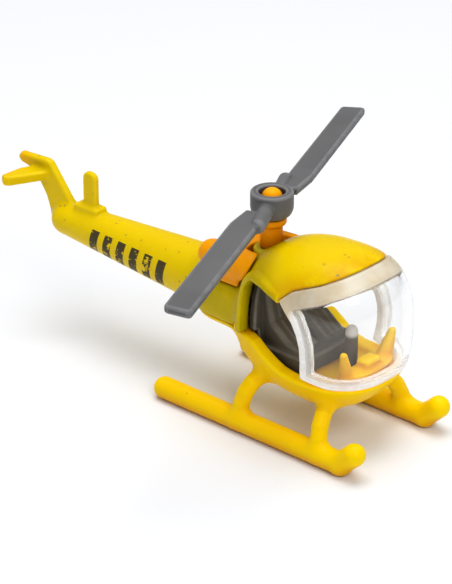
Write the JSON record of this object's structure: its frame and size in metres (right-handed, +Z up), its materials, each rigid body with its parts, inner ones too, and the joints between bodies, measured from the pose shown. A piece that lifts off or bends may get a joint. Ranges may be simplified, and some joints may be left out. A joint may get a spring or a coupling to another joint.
{
  "type": "toy helicopter",
  "caption": "Small die-cast toy helicopter with a clear bubble cabin, tail boom with fin, skid landing gear and a freely turning main rotor.",
  "frame": {"origin": "centre of the bounding box, at the underside of the skids", "axes": "+X towards the nose, +Y to port, +Z up; the rotor turns about an upright axis 13.29 mm ahead of the origin"},
  "size_m": [0.0786, 0.0716, 0.0351],
  "materials": {
    "body_paint": "gloss paint on a zinc casting, worn, with dust specks",
    "base_plastic": "smooth moulded plastic, softly glossy",
    "engine_plastic": "smooth moulded plastic",
    "mast_plastic": "smooth moulded plastic",
    "pin_plastic": "smooth moulded plastic, glossy dome",
    "rotor_plastic": "satin moulded plastic, lighter at its worn edges",
    "canopy_clear": "clear polished styrene with thick frosted rims",
    "interior_plastic": "dull moulded plastic",
    "stick_plastic": "dull moulded plastic",
    "console_plastic": "smooth moulded plastic",
    "front_rivet_metal": "bare peened metal",
    "rear_rivet_metal": "bare peened metal"
  },
  "bodies": {
    "airframe": {"body_casting": "body_paint", "base_and_skids": "base_plastic", "engine_block": "engine_plastic", "rotor_mast": "mast_plastic", "rotor_pin": "pin_plastic", "canopy": "canopy_clear", "cabin_interior": "interior_plastic", "control_stick": "stick_plastic", "front_console": "console_plastic", "front_rivet": "front_rivet_metal", "rear_rivet": "rear_rivet_metal"},
    "rotor": {"main_rotor": "rotor_plastic"}
  },
  "joints": [
    {"name": "rotor_spin", "type": "hinge", "parent": "airframe", "child": "rotor", "pos_m": [0.01329, 0, 0.0326], "axis": [0, 0, 1], "continuous": true}
  ]
}
